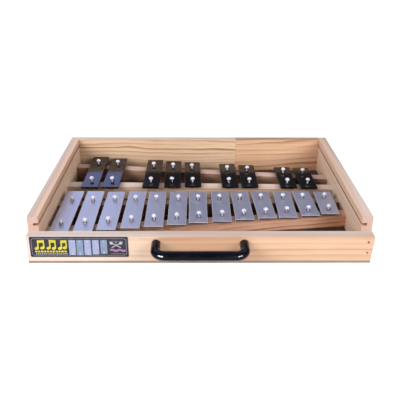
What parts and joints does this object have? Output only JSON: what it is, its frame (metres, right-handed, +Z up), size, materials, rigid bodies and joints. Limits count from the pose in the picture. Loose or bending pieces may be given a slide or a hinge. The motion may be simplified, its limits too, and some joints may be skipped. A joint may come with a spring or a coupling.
{
  "type": "glockenspiel",
  "caption": "Chromatic glockenspiel: a low row of silver metal bars and a raised-look row of black bars, pinned loosely on slanted rails in an open pine carrying case with a bow handle.",
  "frame": {"origin": "centre of the case's 430 x 292 mm plan, on the rest plane of its underside (the handle is not counted)", "axes": "+X towards the high notes (player's right), +Y away from the player, +Z up"},
  "size_m": [0.431, 0.3263, 0.0585],
  "materials": {
    "pine_front": "smooth clear-sealed pine",
    "pine_board": "smooth clear-sealed pine",
    "pine_rail": "planed bare pine",
    "base_board": "thin hardboard",
    "silver_bar": "satin",
    "black_bar": "gloss black coating",
    "felt": "pressed felt",
    "pin_steel": "drawn wire",
    "white_cap": "soft gloss",
    "black_handle": "gloss",
    "screw_steel": "zinc plated",
    "label": "printed film",
    "nail_steel": "dull wire nail"
  },
  "bodies": {
    "case": {"front_panel": "pine_front", "back_panel": "pine_board", "left_side_panel": "pine_board", "right_side_panel": "pine_board", "base_sheet": "base_board", "natural_front_rail": "pine_rail", "natural_back_rail": "pine_rail", "accidental_front_rail": "pine_rail", "accidental_back_rail": "pine_rail", "natural_felt_washers": "felt", "accidental_felt_washers": "felt", "natural_bar_pins": "pin_steel", "accidental_bar_pins": "pin_steel", "natural_pin_caps": "white_cap", "accidental_pin_caps": "white_cap", "carry_handle": "black_handle", "handle_screws": "screw_steel", "label_plate": "label", "panel_nails": "nail_steel", "base_nails": "nail_steel"},
    "natural_bar_1": {"natural_bar_1": "silver_bar"},
    "natural_bar_2": {"natural_bar_2": "silver_bar"},
    "natural_bar_3": {"natural_bar_3": "silver_bar"},
    "natural_bar_4": {"natural_bar_4": "silver_bar"},
    "natural_bar_5": {"natural_bar_5": "silver_bar"},
    "natural_bar_6": {"natural_bar_6": "silver_bar"},
    "natural_bar_7": {"natural_bar_7": "silver_bar"},
    "natural_bar_8": {"natural_bar_8": "silver_bar"},
    "natural_bar_9": {"natural_bar_9": "silver_bar"},
    "natural_bar_10": {"natural_bar_10": "silver_bar"},
    "natural_bar_11": {"natural_bar_11": "silver_bar"},
    "natural_bar_12": {"natural_bar_12": "silver_bar"},
    "natural_bar_13": {"natural_bar_13": "silver_bar"},
    "accidental_bar_1": {"accidental_bar_1": "black_bar"},
    "accidental_bar_2": {"accidental_bar_2": "black_bar"},
    "accidental_bar_3": {"accidental_bar_3": "black_bar"},
    "accidental_bar_4": {"accidental_bar_4": "black_bar"},
    "accidental_bar_5": {"accidental_bar_5": "black_bar"},
    "accidental_bar_6": {"accidental_bar_6": "black_bar"},
    "accidental_bar_7": {"accidental_bar_7": "black_bar"},
    "accidental_bar_8": {"accidental_bar_8": "black_bar"},
    "accidental_bar_9": {"accidental_bar_9": "black_bar"}
  },
  "joints": [
    {"name": "natural_bar_1_lift", "type": "slide", "parent": "case", "child": "natural_bar_1", "axis": [0, 0, 1], "range_m": [0, 0.003]},
    {"name": "natural_bar_2_lift", "type": "slide", "parent": "case", "child": "natural_bar_2", "axis": [0, 0, 1], "range_m": [0, 0.003]},
    {"name": "natural_bar_3_lift", "type": "slide", "parent": "case", "child": "natural_bar_3", "axis": [0, 0, 1], "range_m": [0, 0.003]},
    {"name": "natural_bar_4_lift", "type": "slide", "parent": "case", "child": "natural_bar_4", "axis": [0, 0, 1], "range_m": [0, 0.003]},
    {"name": "natural_bar_5_lift", "type": "slide", "parent": "case", "child": "natural_bar_5", "axis": [0, 0, 1], "range_m": [0, 0.003]},
    {"name": "natural_bar_6_lift", "type": "slide", "parent": "case", "child": "natural_bar_6", "axis": [0, 0, 1], "range_m": [0, 0.003]},
    {"name": "natural_bar_7_lift", "type": "slide", "parent": "case", "child": "natural_bar_7", "axis": [0, 0, 1], "range_m": [0, 0.003]},
    {"name": "natural_bar_8_lift", "type": "slide", "parent": "case", "child": "natural_bar_8", "axis": [0, 0, 1], "range_m": [0, 0.003]},
    {"name": "natural_bar_9_lift", "type": "slide", "parent": "case", "child": "natural_bar_9", "axis": [0, 0, 1], "range_m": [0, 0.003]},
    {"name": "natural_bar_10_lift", "type": "slide", "parent": "case", "child": "natural_bar_10", "axis": [0, 0, 1], "range_m": [0, 0.003]},
    {"name": "natural_bar_11_lift", "type": "slide", "parent": "case", "child": "natural_bar_11", "axis": [0, 0, 1], "range_m": [0, 0.003]},
    {"name": "natural_bar_12_lift", "type": "slide", "parent": "case", "child": "natural_bar_12", "axis": [0, 0, 1], "range_m": [0, 0.003]},
    {"name": "natural_bar_13_lift", "type": "slide", "parent": "case", "child": "natural_bar_13", "axis": [0, 0, 1], "range_m": [0, 0.003]},
    {"name": "accidental_bar_1_lift", "type": "slide", "parent": "case", "child": "accidental_bar_1", "axis": [0, 0, 1], "range_m": [0, 0.0035]},
    {"name": "accidental_bar_2_lift", "type": "slide", "parent": "case", "child": "accidental_bar_2", "axis": [0, 0, 1], "range_m": [0, 0.0035]},
    {"name": "accidental_bar_3_lift", "type": "slide", "parent": "case", "child": "accidental_bar_3", "axis": [0, 0, 1], "range_m": [0, 0.0035]},
    {"name": "accidental_bar_4_lift", "type": "slide", "parent": "case", "child": "accidental_bar_4", "axis": [0, 0, 1], "range_m": [0, 0.0035]},
    {"name": "accidental_bar_5_lift", "type": "slide", "parent": "case", "child": "accidental_bar_5", "axis": [0, 0, 1], "range_m": [0, 0.0035]},
    {"name": "accidental_bar_6_lift", "type": "slide", "parent": "case", "child": "accidental_bar_6", "axis": [0, 0, 1], "range_m": [0, 0.0035]},
    {"name": "accidental_bar_7_lift", "type": "slide", "parent": "case", "child": "accidental_bar_7", "axis": [0, 0, 1], "range_m": [0, 0.0035]},
    {"name": "accidental_bar_8_lift", "type": "slide", "parent": "case", "child": "accidental_bar_8", "axis": [0, 0, 1], "range_m": [0, 0.0035]},
    {"name": "accidental_bar_9_lift", "type": "slide", "parent": "case", "child": "accidental_bar_9", "axis": [0, 0, 1], "range_m": [0, 0.0035]}
  ]
}
